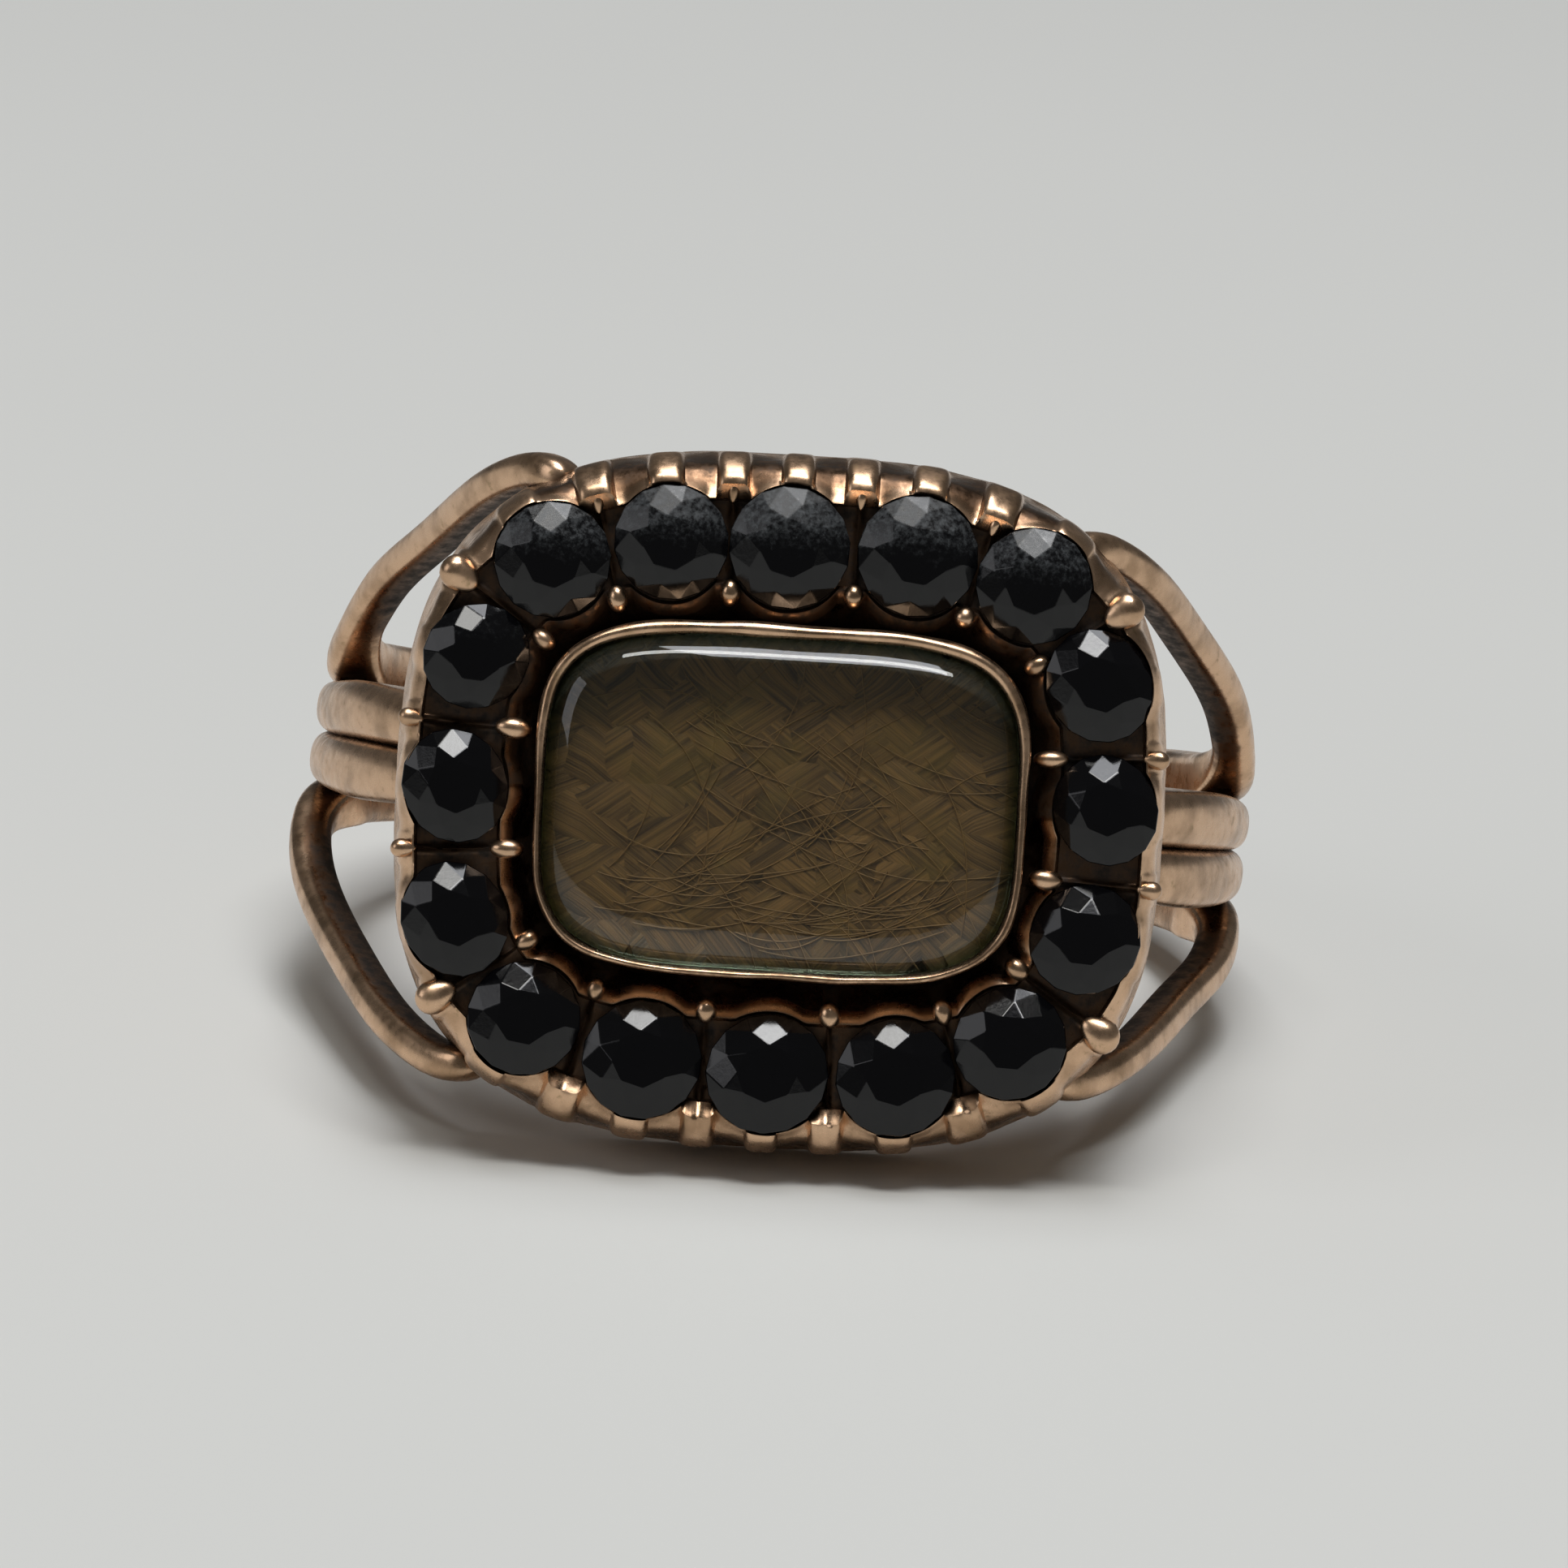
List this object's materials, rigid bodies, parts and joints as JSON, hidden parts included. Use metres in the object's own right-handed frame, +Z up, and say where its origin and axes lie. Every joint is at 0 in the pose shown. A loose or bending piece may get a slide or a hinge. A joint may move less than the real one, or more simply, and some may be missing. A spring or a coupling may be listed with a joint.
{
  "type": "mourning ring",
  "caption": "Gold finger ring with a cushion head: a row of round black faceted stones round a glazed compartment of woven hair, on a reeded hoop with open split shoulders.",
  "frame": {"origin": "on the surface that the ring lies on, under the middle of the box round it", "axes": "+Z up as the ring lies on its side, the head faces -Y and leans back, +X to the head's right seen from its front"},
  "size_m": [0.0203, 0.0226, 0.014],
  "materials": {
    "gold": "worn satin rose gold with dark tarnish in the recesses",
    "black_stone": "glossy near-black cut stone with fine wear",
    "crystal_glass": "clear glass with a faint green edge",
    "woven_hair": "woven brown hair"
  },
  "bodies": {
    "root": {"ring_mount": "gold", "stone_01": "black_stone", "stone_02": "black_stone", "stone_03": "black_stone", "stone_04": "black_stone", "stone_05": "black_stone", "stone_06": "black_stone", "stone_07": "black_stone", "stone_08": "black_stone", "stone_09": "black_stone", "stone_10": "black_stone", "stone_11": "black_stone", "stone_12": "black_stone", "stone_13": "black_stone", "stone_14": "black_stone", "stone_15": "black_stone", "stone_16": "black_stone", "crystal": "crystal_glass", "hair_panel": "woven_hair"}
  },
  "joints": []
}
